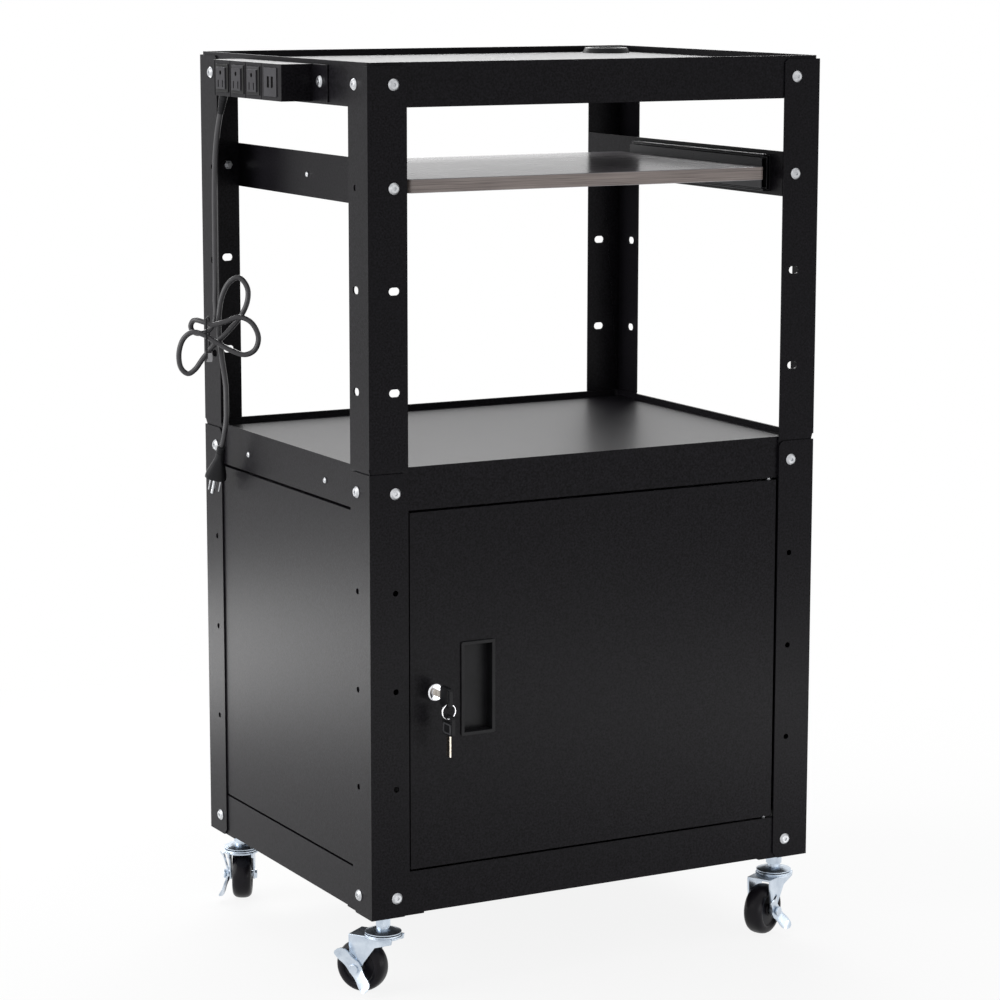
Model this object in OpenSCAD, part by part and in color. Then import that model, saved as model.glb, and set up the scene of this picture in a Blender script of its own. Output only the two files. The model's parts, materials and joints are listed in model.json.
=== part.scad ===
// Wheeled cabinet cart for a projector, all sizes in millimetres.
// Origin: floor level under the middle of the whole cart. +X right, +Y back, +Z up.

/* [Frame] */
// Width over the legs
cart_w = 610; // [520:5:760]
// Depth over the legs
cart_d = 472; // [420:4:600]
// Thickness of the leg steel
leg_t = 2; // [1.5:0.1:3]
// Width of each leg flange
leg_flange_w = 50; // [44:1:60]
// Height of the lower legs
lower_leg_h = 529; // [480:1:600]
// Height of the upper legs above the lower legs
upper_leg_rise = 465; // [440:1:520]
// Height of the step that brings an upper leg inside the lower leg
joggle_h = 7; // [5:0.5:12]
// Length of the upper leg hidden in the lower leg
tongue_h = 42; // [36:1:44]
// Corner radius at the top of a lower leg
leg_corner_r = 8; // [4:0.5:14]
// Corner chamfer at the top of an upper leg
leg_chamfer = 4; // [2:0.5:8]
// Corner chamfer at the foot of a lower leg
foot_chamfer = 7; // [3:0.5:10]

/* [Leg holes] */
// Distance of every hole from the leg's corner
hole_inset = 33; // [28:0.5:38]
// Height step between the holes
hole_pitch = 116.8; // [110:0.1:118]
// Depth of the highest hole below the leg top
hole_drop = 21; // [16:0.5:26]
// Diameter of the round holes
hole_d = 7; // [6.4:0.1:8]
// Length of the adjustment slots
slot_len = 14; // [11:0.5:18]
// Height of the adjustment slots
slot_h = 9; // [7:0.5:10]
// Height of the foot bolt above the leg foot
foot_bolt_rise = 23.5; // [18:0.5:30]

/* [Trays] */
// Height of a tray from its lower edge to its rim
tray_h = 51; // [44:1:56]
// Thickness of the tray sheet
tray_t = 1.5; // [1:0.1:2]
// Height of the rim above the tray surface
lip_h = 8; // [5:0.5:12]
// Thickness of the folded rim
hem_w = 3; // [2:0.1:4]
// Width of the fold under the tray walls
return_w = 14; // [12:1:20]
// Chamfer at the tray corners
tray_chamfer = 3; // [1:0.5:6]
// Height of the top tray rim above the legs
top_rim_rise = 4; // [2:0.5:8]
// Height of the middle tray rim above the lower legs
mid_rim_rise = 6; // [4:0.5:9]
// Distance between the two side screws
tray_screw_gap = 221; // [180:1:240]

/* [Cable grommet] */
// Distance of the grommet from the right side
grommet_side = 50; // [46:1:70]
// Distance of the grommet from the back
grommet_back = 46; // [42:1:70]
// Diameter of the grommet flange
grommet_d = 62; // [54:1:66]
// Diameter of the cable hole through the grommet
grommet_bore = 44; // [36:1:50]
// Height of the grommet above the tray surface
grommet_rise = 6.5; // [4:0.5:7]
// Depth of the grommet below the tray surface
grommet_drop = 9; // [6:0.5:12]

/* [Cabinet] */
// Thickness of the cabinet sheet
panel_t = 1.5; // [1:0.1:2]
// Gap between a panel and the trays
panel_gap = 2.5; // [2:0.5:4]
// Width of the folds along the panel edges
panel_fold_w = 12; // [8:1:20]
// Gap between the door and the legs
door_gap = 2.5; // [2:0.5:4]
// Depth of the door pan
door_depth = 18; // [16:1:24]
// Distance of the hinge pins from the door's right edge
pin_side = 7; // [6.5:0.5:9]
// Distance of the hinge pins behind the door's face
pin_back = 7; // [6.5:0.5:8]
// Diameter of the hinge pins
pin_d = 6; // [5:0.5:7]

/* [Door fittings] */
// Width of the pull recess
cup_w = 40; // [34:1:48]
// Height of the pull recess
cup_h = 108; // [90:1:120]
// Depth of the pull recess
cup_depth = 14; // [10:1:15]
// Distance of the pull's middle from the door's left edge
cup_side = 89; // [80:1:100]
// Distance of the lock from the door's left edge
lock_side = 33; // [28:1:40]
// Diameter of the lock's face
lock_d = 21; // [19:0.5:24]
// Diameter of the turning core
core_d = 12; // [11:0.5:13]
// Width of the key's grip
bow_w = 24; // [20:1:28]
// Diameter of the key ring's middle line
ring_d = 17.2; // [15:0.2:20]

/* [Pull-out shelf] */
// Height of the side brackets
bracket_h = 54; // [50:1:60]
// Thickness of the side brackets
bracket_t = 2; // [1.5:0.1:3]
// Length of the slides
slide_len = 312; // [280:1:320]
// Height of the slides
slide_h = 45; // [42:1:46]
// Width of a closed slide
slide_w = 12.7; // [12:0.1:14]
// Thickness of the slide steel
slide_t = 1.2; // [1:0.1:1.5]
// Distance of the slides behind the front of the frame
slide_front = 29; // [26:1:36]
// Depth of the shelf board
board_d = 344; // [320:1:360]
// Thickness of the shelf board
board_t = 16; // [12:1:18]
// Corner radius of the shelf board
board_r = 5; // [3:0.5:10]
// Distance of the board behind the front of the frame
board_front = 22; // [18:1:26]

/* [Power strip] */
// Length of the strip housing
strip_len = 195; // [190:1:210]
// Height of the strip housing
strip_h = 43; // [40:1:46]
// Depth of the strip housing
strip_depth = 42; // [38:1:46]
// Length of each mounting ear
ear_len = 39; // [32:1:40]
// Diameter of the power cord
cord_d = 6.6; // [6:0.1:9]

/* [Casters] */
// Diameter of the wheels
wheel_d = 63; // [58:1:66]
// Width of the wheels
wheel_w = 25; // [22:1:28]
// Distance of the axle behind the swivel stem
trail = 28; // [26:0.5:30]
// Thickness of the fork steel
fork_t = 2.5; // [2:0.1:3]
// Distance of the stems from the sides of the frame
stem_side = 29; // [28:0.5:32]
// Distance of the stems from the front and back
stem_end = 29; // [28:0.5:32]
// Diameter of the stems
stem_d = 10; // [8:0.5:11]

/* [Hidden] */
$fn = 48;
// Overrun of every cut
over = 1;
// Running clearance of a shaft in its hole
run = 0.05;
// Gap between pieces that slide past each other
slip = 0.4;

// Caster heights, from the floor up
wheel_gap = 7;
ball_ring_h = 2;
ball_gap = 1.5;
dome_h = 4.5;
neck_h = 4;
hex_h = 9.5;
thread_h = 6;
fork_z = wheel_d + wheel_gap + fork_t;
ring_z = fork_z + ball_ring_h;
dome_z = ring_z + ball_gap;
neck_z = dome_z + dome_h;
hex_z = neck_z + neck_h;
thread_z = hex_z + hex_h;
foot_z = thread_z + thread_h;

// Frame heights
joint_z = foot_z + lower_leg_h;
leg_top_z = joint_z + upper_leg_rise;
top_rim_z = leg_top_z + top_rim_rise;
mid_rim_z = joint_z + mid_rim_rise;
plate_t = 2;
plate_w = 68;
bottom_rim_z = foot_z + plate_t + tray_h;
hole_top_z = leg_top_z - hole_drop;
shelf_z = hole_top_z - hole_pitch;
joint_bolt_z = hole_top_z - 4 * hole_pitch;
foot_bolt_z = foot_z + foot_bolt_rise;
half_w = cart_w / 2;
half_d = cart_d / 2;

// Fasteners
bolt_d = 6;
bolt_head_d = 13.8;
bolt_head_h = 3.2;
bolt_len = 12;
socket_d = 4;
socket_deep = 1.6;
nut_w = 10;
nut_h = 5;
small_screw_d = 4;
small_head_d = 7;
small_head_h = 2.2;

// Cabinet between the middle and the bottom tray
cab_low_z = bottom_rim_z + panel_gap;
cab_high_z = mid_rim_z - tray_h - panel_gap;
door_left_x = -half_w + leg_flange_w + door_gap;
door_right_x = half_w - leg_flange_w - door_gap;
door_face_y = -half_d + leg_t;
pin_x = door_right_x - pin_side;
pin_y = door_face_y + pin_back;
pin_head_d = 10;
pin_head_h = 2.5;
pin_reach = 10;
fold_gap = 0.5;

// Lock, pull and keys
lock_x = door_left_x + lock_side;
cup_x = door_left_x + cup_side;
fitting_z = 366;
bezel_t = 2.2;
bezel_w = 2.5;
cup_t = 1.5;
lock_face_t = 3;
lock_body_d = 18;
lock_body_len = 16;
lock_nut_w = 24;
lock_nut_t = 4;
core_proud = 0.8;
// The cam points down when unlocked, and its cranked tip turns behind the left leg when locked
cam_w = 14;
cam_len = 42;
cam_t = 2;
cam_root = 18;
cam_behind = 2.5;
cam_slot_w = 4.5;
cam_slot_low = 31;
cam_slot_high = 9;
key_t = 2.2;
key_blade_w = 8;
key_shank = 12;
key_inside = 14;
bow_t = 4.5;
bow_r = 4;
bow_slot_len = 18;
bow_slot_w = 5;
bow_slot_off = 6;
wire_d = 1.6;
bow_y = door_face_y - lock_face_t - core_proud - key_shank - bow_w / 2;
ring_y = bow_y - bow_slot_off;
hang_z = fitting_z - bow_slot_len / 2 + wire_d / 2 + slip;
ring_mid_z = hang_z - ring_d / 2;
spare_z = ring_mid_z - ring_d / 2 + wire_d / 2 + slip - bow_slot_w / 2 - bow_slot_off;

// Shelf bracket, slides and board
bracket_overlap = 0.5;
bracket_tab_gap = 3;
bracket_in_x = half_w - leg_flange_w - bracket_overlap;
bracket_tab_x = half_w - leg_t - bracket_tab_gap;
slide_y = -half_d + slide_front;
ball_play = 0.8;
outer_rail_w = 10;
inner_rail_w = slide_w / 2;
mid_rail_h = slide_h - 2 * slide_t - 2 * ball_play;
inner_rail_h = mid_rail_h - 2 * slide_t - 2 * ball_play;
board_half_w = bracket_in_x - slide_w;
board_y = -half_d + board_front;
slide_screw_share = [0.19, 0.75];

// Power strip on the outside of the top tray's left wall
strip_back_x = -half_w + leg_t;
strip_x = strip_back_x - strip_depth;
strip_mid_y = 4.5;
strip_drop = 48.4;
strip_low_z = top_rim_z - strip_drop;
strip_mid_z = strip_low_z + strip_h / 2;
strip_wall = 2;
ear_t = 1.8;
module_share = 0.2318;
module_w = strip_len * module_share;
socket_margin = 9.2;
socket_w = module_w - socket_margin;
socket_tall = 34;
socket_proud = 1;
socket_t = 12;
boss_w = 26;
boss_proud = 2;
blade_slot_w = 2.4;
blade_slot_h = 8.5;
blade_gap = 12.7;
earth_d = 5.2;
slot_deep = 9;
usb_w = 5.5;
usb_h = 13;
groove_w = 1.6;
groove_deep = 0.8;
end_cap = 4;
first_edge_y = strip_mid_y + strip_len / 2 - end_cap;
socket_places_y = [for (i = [0.5, 1.5, 2.5]) first_edge_y - i * module_w];
groove_places_y = [for (i = [0 : 3]) first_edge_y - i * module_w];
last_edge_y = strip_mid_y - strip_len / 2 + end_cap;
usb_place_y = (first_edge_y - 3 * module_w + last_edge_y) / 2;

// Strain relief under the strip
relief_side = 7.5;
relief_end = 12;
relief_x = strip_x + relief_side;
relief_y = strip_mid_y + strip_len / 2 - relief_end;
relief_tilt = 25;
relief_len = 24;
relief_d = 11;
relief_end_d = 8;
relief_stub_d = 8.5;
relief_collar_d = 10.5;
relief_collar_h = 1.8;

// Power cord: a drop from the strip, a bow tied in the middle and a tail to the plug
cord_drop_points = [[-337.5, 99.9, 1028.5], [-337.5, 103.5, 1020.9], [-337.3, 112, 1000], [-335.5, 122, 975],
    [-332.5, 132, 945], [-329.5, 140, 910], [-327, 146, 875], [-325, 151, 840], [-323.6, 154.5, 815]];
// Points of the bow as right, up and forward distances from its middle
bow_mid = [-325, 157, 752];
bow_turn = 28.5;
bow_share = [0.9, 0.94];
bow_points = [[2, 46, 0], [2.5, 31, 0], [0.6, 16, 0], [-8, 5, -1], [-21, 1.5, 1], [-29, 5, 6],
    [-31, 13.5, 12],
    [-25, 21.5, 18], [-12, 19.5, 24], [1, 16.5, 27], [18, 20.5, 28], [37.5, 26.5, 28], [54, 19, 28],
    [63, 1, 28], [58.5, -16, 28], [44, -23, 28], [25, -17, 28], [5, -6.5, 28], [-12, 3, 27], [-28, 6, 24],
    [-41, -4, 22], [-47, -22.5, 20], [-45, -41, 19], [-35.5, -49.5, 18], [-25, -43.5, 18], [-14, -29, 18],
    [0, -13, 18], [19.5, 5.5, 18], [37.5, 25.5, 17], [47, 44.5, 15], [47.5, 63, 13], [36.5, 76.5, 11],
    [22, 70, 10], [12, 51.5, 9], [8, 30.5, 9], [7, 8, 9], [9, -14, 9], [12, -38, 9], [14, -52, 9]];
cord_tail_points = [[-317.4, 141, 688], [-318.2, 138.5, 668], [-319.6, 136, 648], [-322, 136, 632],
    [-322.8, 138.2, 621.9], [-323.5, 142.5, 613.3]];
bow_samples = 3;
plain_samples = 2;
bow_sides = 6;
plain_sides = 10;
least_gap = 0.4;

// Plug on the end of the tail
plug_tilt = 26;
plug_turn = 60;
plug_neck_d = 11;
plug_neck_h = 13;
plug_body_h = 34;
plug_face_w = 27;
plug_face_h = 19;
plug_face_t = 7;
blade_w = 6.3;
blade_t = 1.6;
blade_len = 17;
pin_round_d = 4.7;
pin_round_len = 20;

// Tie round the bow, as right, up and forward distances from its middle
tie_right = -6.5;
tie_band = 3;
tie_t = 1.1;
tie_low = -28.2;
tie_high = 23;
tie_back = -4.9;
tie_front = 31.8;
tie_r = 4;
tie_tab_w = 9;
tie_tab_h = 12;

// Casters: front left, front right, back left, back right, and where each trails to
caster_sides = [[-1, -1], [1, -1], [-1, 1], [1, 1]];
caster_turns = [125, 208, 63, 160];
axle_z = wheel_d / 2;
axle_d = 8;
axle_head_d = 12;
axle_head_h = 2.5;
side_gap = 1.6;
arm_x = wheel_w / 2 + side_gap;
// Brake lever: a rocker on the outer end of the axle, its two wings bent outwards
brake_gap = 1.6;
brake_t = 2;
brake_hole_d = 9.4;
brake_turn = 40;
brake_len = 31;
brake_w = 15;
brake_bend = 20;
brake_flat = 11;
lever_x = arm_x + fork_t + brake_gap;
plain_head_x = arm_x + fork_t;
lever_head_x = lever_x + brake_t + brake_gap;
king_gap = 0.4;
ring_r = 23;
dome_r = 22;
dome_top_r = 11;
neck_r = 8;
hex_w = 17;
king_d = 18;
king_h = 2.4;
tyre_r = 5;
hub_r = 22;
hub_deep = 3;

// The origin is under the middle of the whole cart, and the power strip moves that middle to the left
frame_x = (strip_depth - leg_t - bolt_head_h) / 2;
hex_sides = 6;
hex_round = cos(180 / hex_sides);

// Colours
black_paint = [0.12, 0.12, 0.13];
steel = [0.75, 0.77, 0.8];
zinc = [0.72, 0.77, 0.83];
plastic = [0.07, 0.07, 0.08];
board_grey = [0.45, 0.42, 0.4];
brass = [0.75, 0.68, 0.5];

// Shared shapes
module placed() {
    translate([frame_x, 0, 0]) children();
}

module at_corner(side) {
    translate([side[0] * half_w, side[1] * half_d, 0])
        mirror([side[0] > 0 ? 1 : 0, 0, 0])
            mirror([0, side[1] > 0 ? 1 : 0, 0])
                children();
}

module both_flanges() {
    children();
    mirror([1, -1, 0]) children();
}

module hole_y(x, z, d, y, len) {
    translate([x, y - over, z]) rotate([-90, 0, 0]) cylinder(d = d, h = len + 2 * over);
}

module slot_y(x, z, y, len) {
    run_len = slot_len - slot_h;
    for (side = [-1, 1]) hole_y(x + side * run_len / 2, z, slot_h, y, len);
    translate([x - run_len / 2, y - over, z - slot_h / 2]) cube([run_len, len + 2 * over, slot_h]);
}

module frame_outline(w, d, c) {
    polygon([[-w / 2 + c, -d / 2], [w / 2 - c, -d / 2], [w / 2, -d / 2 + c], [w / 2, d / 2 - c],
        [w / 2 - c, d / 2], [-w / 2 + c, d / 2], [-w / 2, d / 2 - c], [-w / 2, -d / 2 + c]]);
}

module frame_ring(w, d, c, wall) {
    difference() {
        frame_outline(w, d, c);
        frame_outline(w - 2 * wall, d - 2 * wall, c);
    }
}

module round_rect(w, h, r) {
    square([w - 2 * r, h], center = true);
    square([w, h - 2 * r], center = true);
    for (sx = [-1, 1], sy = [-1, 1]) translate([sx * (w / 2 - r), sy * (h / 2 - r)]) circle(r);
}

// Legs
module lower_flange() {
    difference() {
        translate([0, leg_t, foot_z]) rotate([90, 0, 0]) linear_extrude(leg_t) {
            polygon([[0, 0], [leg_flange_w - foot_chamfer, 0], [leg_flange_w, foot_chamfer],
                [leg_flange_w, lower_leg_h - leg_corner_r], [leg_flange_w - leg_corner_r, lower_leg_h],
                [0, lower_leg_h]]);
            translate([leg_flange_w - leg_corner_r, lower_leg_h - leg_corner_r]) circle(leg_corner_r);
        }
        for (i = [0 : 4]) {
            z = i == 4 ? foot_bolt_z : joint_bolt_z - i * hole_pitch;
            hole_y(hole_inset, z, hole_d, 0, leg_t);
        }
    }
}

module lower_leg(side) {
    color(black_paint) at_corner(side) both_flanges() lower_flange();
}

module upper_flange(front) {
    step_z = joint_z + joggle_h;
    difference() {
        union() {
            translate([0, leg_t, step_z]) rotate([90, 0, 0]) linear_extrude(leg_t)
                polygon([[0, 0], [leg_flange_w, 0], [leg_flange_w, leg_top_z - step_z - leg_chamfer],
                    [leg_flange_w - leg_chamfer, leg_top_z - step_z], [0, leg_top_z - step_z]]);
            translate([leg_t, leg_t, joint_z - tongue_h])
                cube([leg_flange_w - leg_t, leg_t, tongue_h]);
            translate([leg_t, 0, 0]) rotate([90, 0, 90]) linear_extrude(leg_flange_w - leg_t)
                polygon([[0, step_z], [leg_t, step_z], [2 * leg_t, joint_z], [leg_t, joint_z]]);
        }
        hole_y(hole_inset, hole_top_z, hole_d, 0, leg_t);
        hole_y(hole_inset, shelf_z, hole_d, 0, leg_t);
        hole_y(hole_inset, joint_bolt_z, hole_d, 0, 2 * leg_t);
        for (i = [2, 3]) slot_y(hole_inset, hole_top_z - i * hole_pitch, 0, leg_t);
    }
}

module upper_leg(side) {
    color(black_paint) at_corner(side) both_flanges() upper_flange();
}

// Trays
module wall_holes(z, inset) {
    for (side = caster_sides) at_corner(side) both_flanges()
        hole_y(hole_inset, z, hole_d, inset, hem_w);
}

module tray(rim_z, inset) {
    w = cart_w - 2 * inset;
    d = cart_d - 2 * inset;
    low_z = rim_z - tray_h;
    translate([0, 0, low_z]) linear_extrude(tray_h) frame_ring(w, d, tray_chamfer, tray_t);
    translate([0, 0, rim_z - lip_h]) linear_extrude(lip_h) frame_ring(w, d, tray_chamfer, hem_w);
    translate([0, 0, low_z]) linear_extrude(tray_t) frame_ring(w, d, tray_chamfer, return_w);
    translate([0, 0, rim_z - lip_h - tray_t]) linear_extrude(tray_t) frame_outline(w, d, tray_chamfer);
}

module grommet_place() {
    translate([half_w - grommet_side, half_d - grommet_back, top_rim_z - lip_h]) children();
}

module top_tray() {
    color(black_paint) difference() {
        tray(top_rim_z, leg_t);
        wall_holes(hole_top_z, leg_t);
        ear_places() translate([0, 0, -ear_t - hem_w - over]) cylinder(d = hole_d, h = hem_w + 2 * over);
        grommet_place() translate([0, 0, -tray_t - over])
            cylinder(d = grommet_bore + 2 * tray_t + slip, h = tray_t + 2 * over);
    }
}

module side_screw_places(inset) {
    for (side = [-1, 1], end = [-1, 1])
        translate([side * (half_w - inset), end * tray_screw_gap / 2, joint_bolt_z])
            rotate([0, side * 90, 0]) children();
}

module pin_hole(z, len) {
    translate([pin_x, pin_y, z - over]) cylinder(d = pin_d, h = len + 2 * over);
}

module middle_tray() {
    color(black_paint) difference() {
        tray(mid_rim_z, 2 * leg_t);
        wall_holes(joint_bolt_z, 2 * leg_t);
        side_screw_places(2 * leg_t) translate([0, 0, -hem_w - over])
            cylinder(d = small_screw_d, h = hem_w + 2 * over);
        pin_hole(mid_rim_z - tray_h, tray_t);
    }
}

module bottom_tray() {
    color(black_paint) difference() {
        tray(bottom_rim_z, leg_t);
        wall_holes(foot_bolt_z, leg_t);
        pin_hole(bottom_rim_z - lip_h - tray_t, tray_t);
    }
}

module grommet() {
    color(plastic) grommet_place() rotate_extrude() {
        translate([grommet_bore / 2, 0])
            polygon([[0, 0], [grommet_d / 2 - grommet_bore / 2, 0],
                [grommet_d / 2 - grommet_bore / 2 - grommet_rise / 2, grommet_rise], [0, grommet_rise]]);
        translate([grommet_bore / 2, -grommet_drop]) square([tray_t, grommet_drop + grommet_rise]);
    }
}

// Cabinet panels with folded upper and lower edges, drawn along X with the folds to +Y
module panel(len, fold_len) {
    h = cab_high_z - cab_low_z;
    translate([-len / 2, 0, cab_low_z]) cube([len, panel_t, h]);
    for (z = [cab_low_z, cab_high_z - panel_t])
        translate([-fold_len / 2, 0, z]) cube([fold_len, panel_fold_w, panel_t]);
}

module side_panel(side) {
    len = cart_d - 2 * leg_t - 2 * panel_t - 2 * fold_gap;
    color(black_paint) mirror([side > 0 ? 1 : 0, 0, 0])
        translate([-half_w + leg_t, 0, 0]) rotate([0, 0, -90]) panel(len, len);
}

module back_panel() {
    len = cart_w - 2 * leg_t - 2 * panel_t - 2 * fold_gap;
    color(black_paint) translate([0, half_d - leg_t, 0]) mirror([0, 1, 0])
        panel(len, len - 2 * panel_fold_w);
}

module corner_plates() {
    color(black_paint) for (side = caster_sides) at_corner(side) difference() {
        translate([leg_t, leg_t, foot_z]) cube([plate_w, plate_w, plate_t]);
        translate([stem_side, stem_end, foot_z - over]) cylinder(d = stem_d, h = plate_t + 2 * over);
    }
}

// Fasteners
module bolt(len) {
    translate([0, 0, -len]) cylinder(d = bolt_d, h = len);
    difference() {
        rotate_extrude() polygon([[0, 0], [bolt_head_d / 2, 0], [bolt_head_d / 2, bolt_head_h / 4],
            [bolt_head_d / 3, bolt_head_h], [0, bolt_head_h]]);
        translate([0, 0, bolt_head_h - socket_deep]) cylinder(d = socket_d, h = socket_deep + over, $fn = 6);
    }
}

module nut() {
    difference() {
        cylinder(d = nut_w / hex_round, h = nut_h, $fn = hex_sides);
        translate([0, 0, -over]) cylinder(d = bolt_d, h = nut_h + 2 * over);
    }
}

module flange_places(z, inset) {
    for (side = caster_sides) at_corner(side) both_flanges()
        translate([hole_inset, inset, z]) rotate([90, 0, 0]) children();
}

module bracket_bolt_places(inset) {
    for (side = caster_sides) at_corner(side)
        translate([hole_inset, inset, shelf_z]) rotate([90, 0, 0]) children();
}

module frame_bolts() {
    color(steel) {
        for (z = [hole_top_z, joint_bolt_z, foot_bolt_z]) flange_places(z, 0) bolt(bolt_len);
        bracket_bolt_places(0) bolt(bolt_len);
    }
}

module frame_nuts() {
    color(steel) {
        flange_places(hole_top_z, leg_t + tray_t + nut_h) nut();
        flange_places(joint_bolt_z, 2 * leg_t + tray_t + nut_h) nut();
        flange_places(foot_bolt_z, leg_t + tray_t + nut_h) nut();
        bracket_bolt_places(leg_t + bracket_t + nut_h) nut();
        ear_places() translate([0, 0, -ear_t - tray_t - nut_h]) nut();
    }
}

module small_screw(len) {
    translate([0, 0, -len]) cylinder(d = small_screw_d, h = len);
    rotate_extrude() polygon([[0, 0], [small_head_d / 2, 0], [small_head_d / 2, small_head_h / 2],
        [small_head_d / 3, small_head_h], [0, small_head_h]]);
}

module panel_screws() {
    color(steel) side_screw_places(2 * leg_t) small_screw(2 * hem_w);
}

// Hinge pins of the door
module hinge_pins() {
    low_z = bottom_rim_z - lip_h - tray_t - pin_head_h;
    high_z = mid_rim_z - tray_h + tray_t;
    color(steel) translate([pin_x, pin_y, 0]) {
        translate([0, 0, low_z]) cylinder(d = pin_head_d, h = pin_head_h);
        translate([0, 0, low_z]) cylinder(d = pin_d, h = cab_low_z + pin_reach - low_z);
        translate([0, 0, cab_high_z - pin_reach])
            cylinder(d = pin_d, h = high_z + pin_head_h - cab_high_z + pin_reach);
    }
}

// Door pan with a fold on all four edges
module door() {
    w = door_right_x - door_left_x;
    h = cab_high_z - cab_low_z;
    color(black_paint) difference() {
        translate([door_left_x, door_face_y, cab_low_z]) difference() {
            cube([w, door_depth, h]);
            translate([panel_t, panel_t, panel_t])
                cube([w - 2 * panel_t, door_depth, h - 2 * panel_t]);
        }
        translate([pin_x, pin_y, cab_low_z - over]) cylinder(d = pin_d + 2 * run, h = panel_t + 2 * over);
        translate([pin_x, pin_y, cab_high_z - panel_t - over])
            cylinder(d = pin_d + 2 * run, h = panel_t + 2 * over);
        translate([cup_x - cup_w / 2, door_face_y - over, fitting_z - cup_h / 2])
            cube([cup_w, panel_t + 2 * over, cup_h]);
        hole_y(lock_x, fitting_z, lock_body_d, door_face_y, panel_t);
        translate([door_left_x - over, door_face_y + panel_t, fitting_z - cam_slot_low])
            cube([panel_t + 2 * over, cam_slot_w, cam_slot_low + cam_slot_high]);
    }
}

module door_pull() {
    color(plastic) translate([cup_x, door_face_y, fitting_z]) rotate([90, 0, 0]) {
        difference() {
            linear_extrude(bezel_t) round_rect(cup_w + 2 * bezel_w, cup_h + 2 * bezel_w, bezel_w);
            translate([0, 0, -over]) linear_extrude(bezel_t + 2 * over)
                square([cup_w - 2 * cup_t, cup_h - 2 * cup_t], center = true);
        }
        translate([0, 0, -cup_depth]) linear_extrude(cup_depth) difference() {
            square([cup_w, cup_h], center = true);
            square([cup_w - 2 * cup_t, cup_h - 2 * cup_t], center = true);
        }
        translate([0, 0, -cup_depth]) linear_extrude(cup_t) square([cup_w, cup_h], center = true);
    }
}

// Lock
module lock_place() {
    translate([lock_x, door_face_y, fitting_z]) rotate([90, 0, 0]) children();
}

module lock_housing() {
    color(steel) lock_place() difference() {
        union() {
            rotate_extrude() polygon([[0, 0], [lock_d / 2, 0], [lock_d / 2, lock_face_t / 2],
                [lock_d / 2 - lock_face_t / 2, lock_face_t], [0, lock_face_t]]);
            translate([0, 0, -lock_body_len]) cylinder(d = lock_body_d, h = lock_body_len);
        }
        translate([0, 0, -lock_body_len - over])
            cylinder(d = core_d + 2 * run, h = lock_body_len + lock_face_t + 2 * over);
    }
}

module lock_nut() {
    color(steel) lock_place() translate([0, 0, -panel_t - lock_nut_t]) difference() {
        cylinder(d = lock_nut_w, h = lock_nut_t, $fn = 6);
        translate([0, 0, -over]) cylinder(d = lock_body_d, h = lock_nut_t + 2 * over);
    }
}

module lock_core() {
    color(steel) lock_place() difference() {
        translate([0, 0, -lock_body_len]) cylinder(d = core_d, h = lock_body_len + lock_face_t + core_proud);
        translate([-key_t / 2, -key_blade_w / 2, lock_face_t + core_proud - key_inside])
            cube([key_t, key_blade_w, key_inside + over]);
    }
}

module lock_cam() {
    root_z = -lock_body_len - cam_t;
    tip_z = -cam_behind - cam_t;
    color(zinc) lock_place() {
        translate([0, 0, root_z]) cylinder(d = cam_w, h = cam_t);
        translate([-cam_w / 2, -cam_root, root_z]) cube([cam_w, cam_root, cam_t]);
        translate([-cam_w / 2, -cam_root, root_z]) cube([cam_w, cam_t, tip_z + cam_t - root_z]);
        translate([-cam_w / 2, -cam_len, tip_z]) cube([cam_w, cam_len - cam_root + cam_t, cam_t]);
    }
}

// Keys: the blade points to -Z, the grip lies above it in the YZ plane
module key_shape() {
    blade_len = key_shank + key_inside;
    color(plastic) rotate([90, 0, 90]) translate([0, 0, -bow_t / 2]) linear_extrude(bow_t) difference() {
        round_rect(bow_w, bow_w, bow_r);
        translate([0, bow_slot_off]) square([bow_slot_len, bow_slot_w], center = true);
    }
    color(brass) translate([-key_t / 2, -key_blade_w / 2, -bow_w / 2 - blade_len])
        cube([key_t, key_blade_w, blade_len]);
}

module key() {
    translate([lock_x, bow_y, fitting_z]) rotate([90, 0, 0]) key_shape();
}

module key_ring() {
    color(steel) translate([lock_x, ring_y, ring_mid_z]) rotate([90, 0, 0])
        rotate_extrude() translate([ring_d / 2, 0]) circle(d = wire_d);
}

module spare_key() {
    translate([lock_x, ring_y, spare_z]) key_shape();
}

// Pull-out shelf
module bracket(side) {
    color(black_paint) mirror([side > 0 ? 0 : 1, 0, 0]) difference() {
        union() {
            translate([bracket_in_x, -half_d + leg_t, shelf_z - bracket_h / 2])
                cube([bracket_t, cart_d - 2 * leg_t, bracket_h]);
            for (end = [0, 1]) mirror([0, end, 0])
                translate([bracket_in_x, -half_d + leg_t, shelf_z - bracket_h / 2])
                    cube([bracket_tab_x - bracket_in_x, bracket_t, bracket_h]);
        }
        for (end = [0, 1]) mirror([0, end, 0])
            hole_y(half_w - hole_inset, shelf_z, hole_d, -half_d + leg_t, bracket_t);
        for (share = slide_screw_share)
            translate([bracket_in_x - over, slide_y + share * slide_len, shelf_z])
                rotate([0, 90, 0]) cylinder(d = small_screw_d, h = bracket_t + 2 * over);
    }
}

// A rail is a channel: x is its web, depth its width, h its height, open to the left or right
module rail(web_x, depth, h, open_left) {
    lip_x = open_left ? web_x - depth + slide_t : web_x;
    translate([web_x, slide_y, shelf_z - h / 2]) cube([slide_t, slide_len, h]);
    for (z = [shelf_z - h / 2, shelf_z + h / 2 - slide_t])
        translate([lip_x, slide_y, z]) cube([depth, slide_len, slide_t]);
}

module both_sides() {
    children();
    mirror([1, 0, 0]) children();
}

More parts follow.
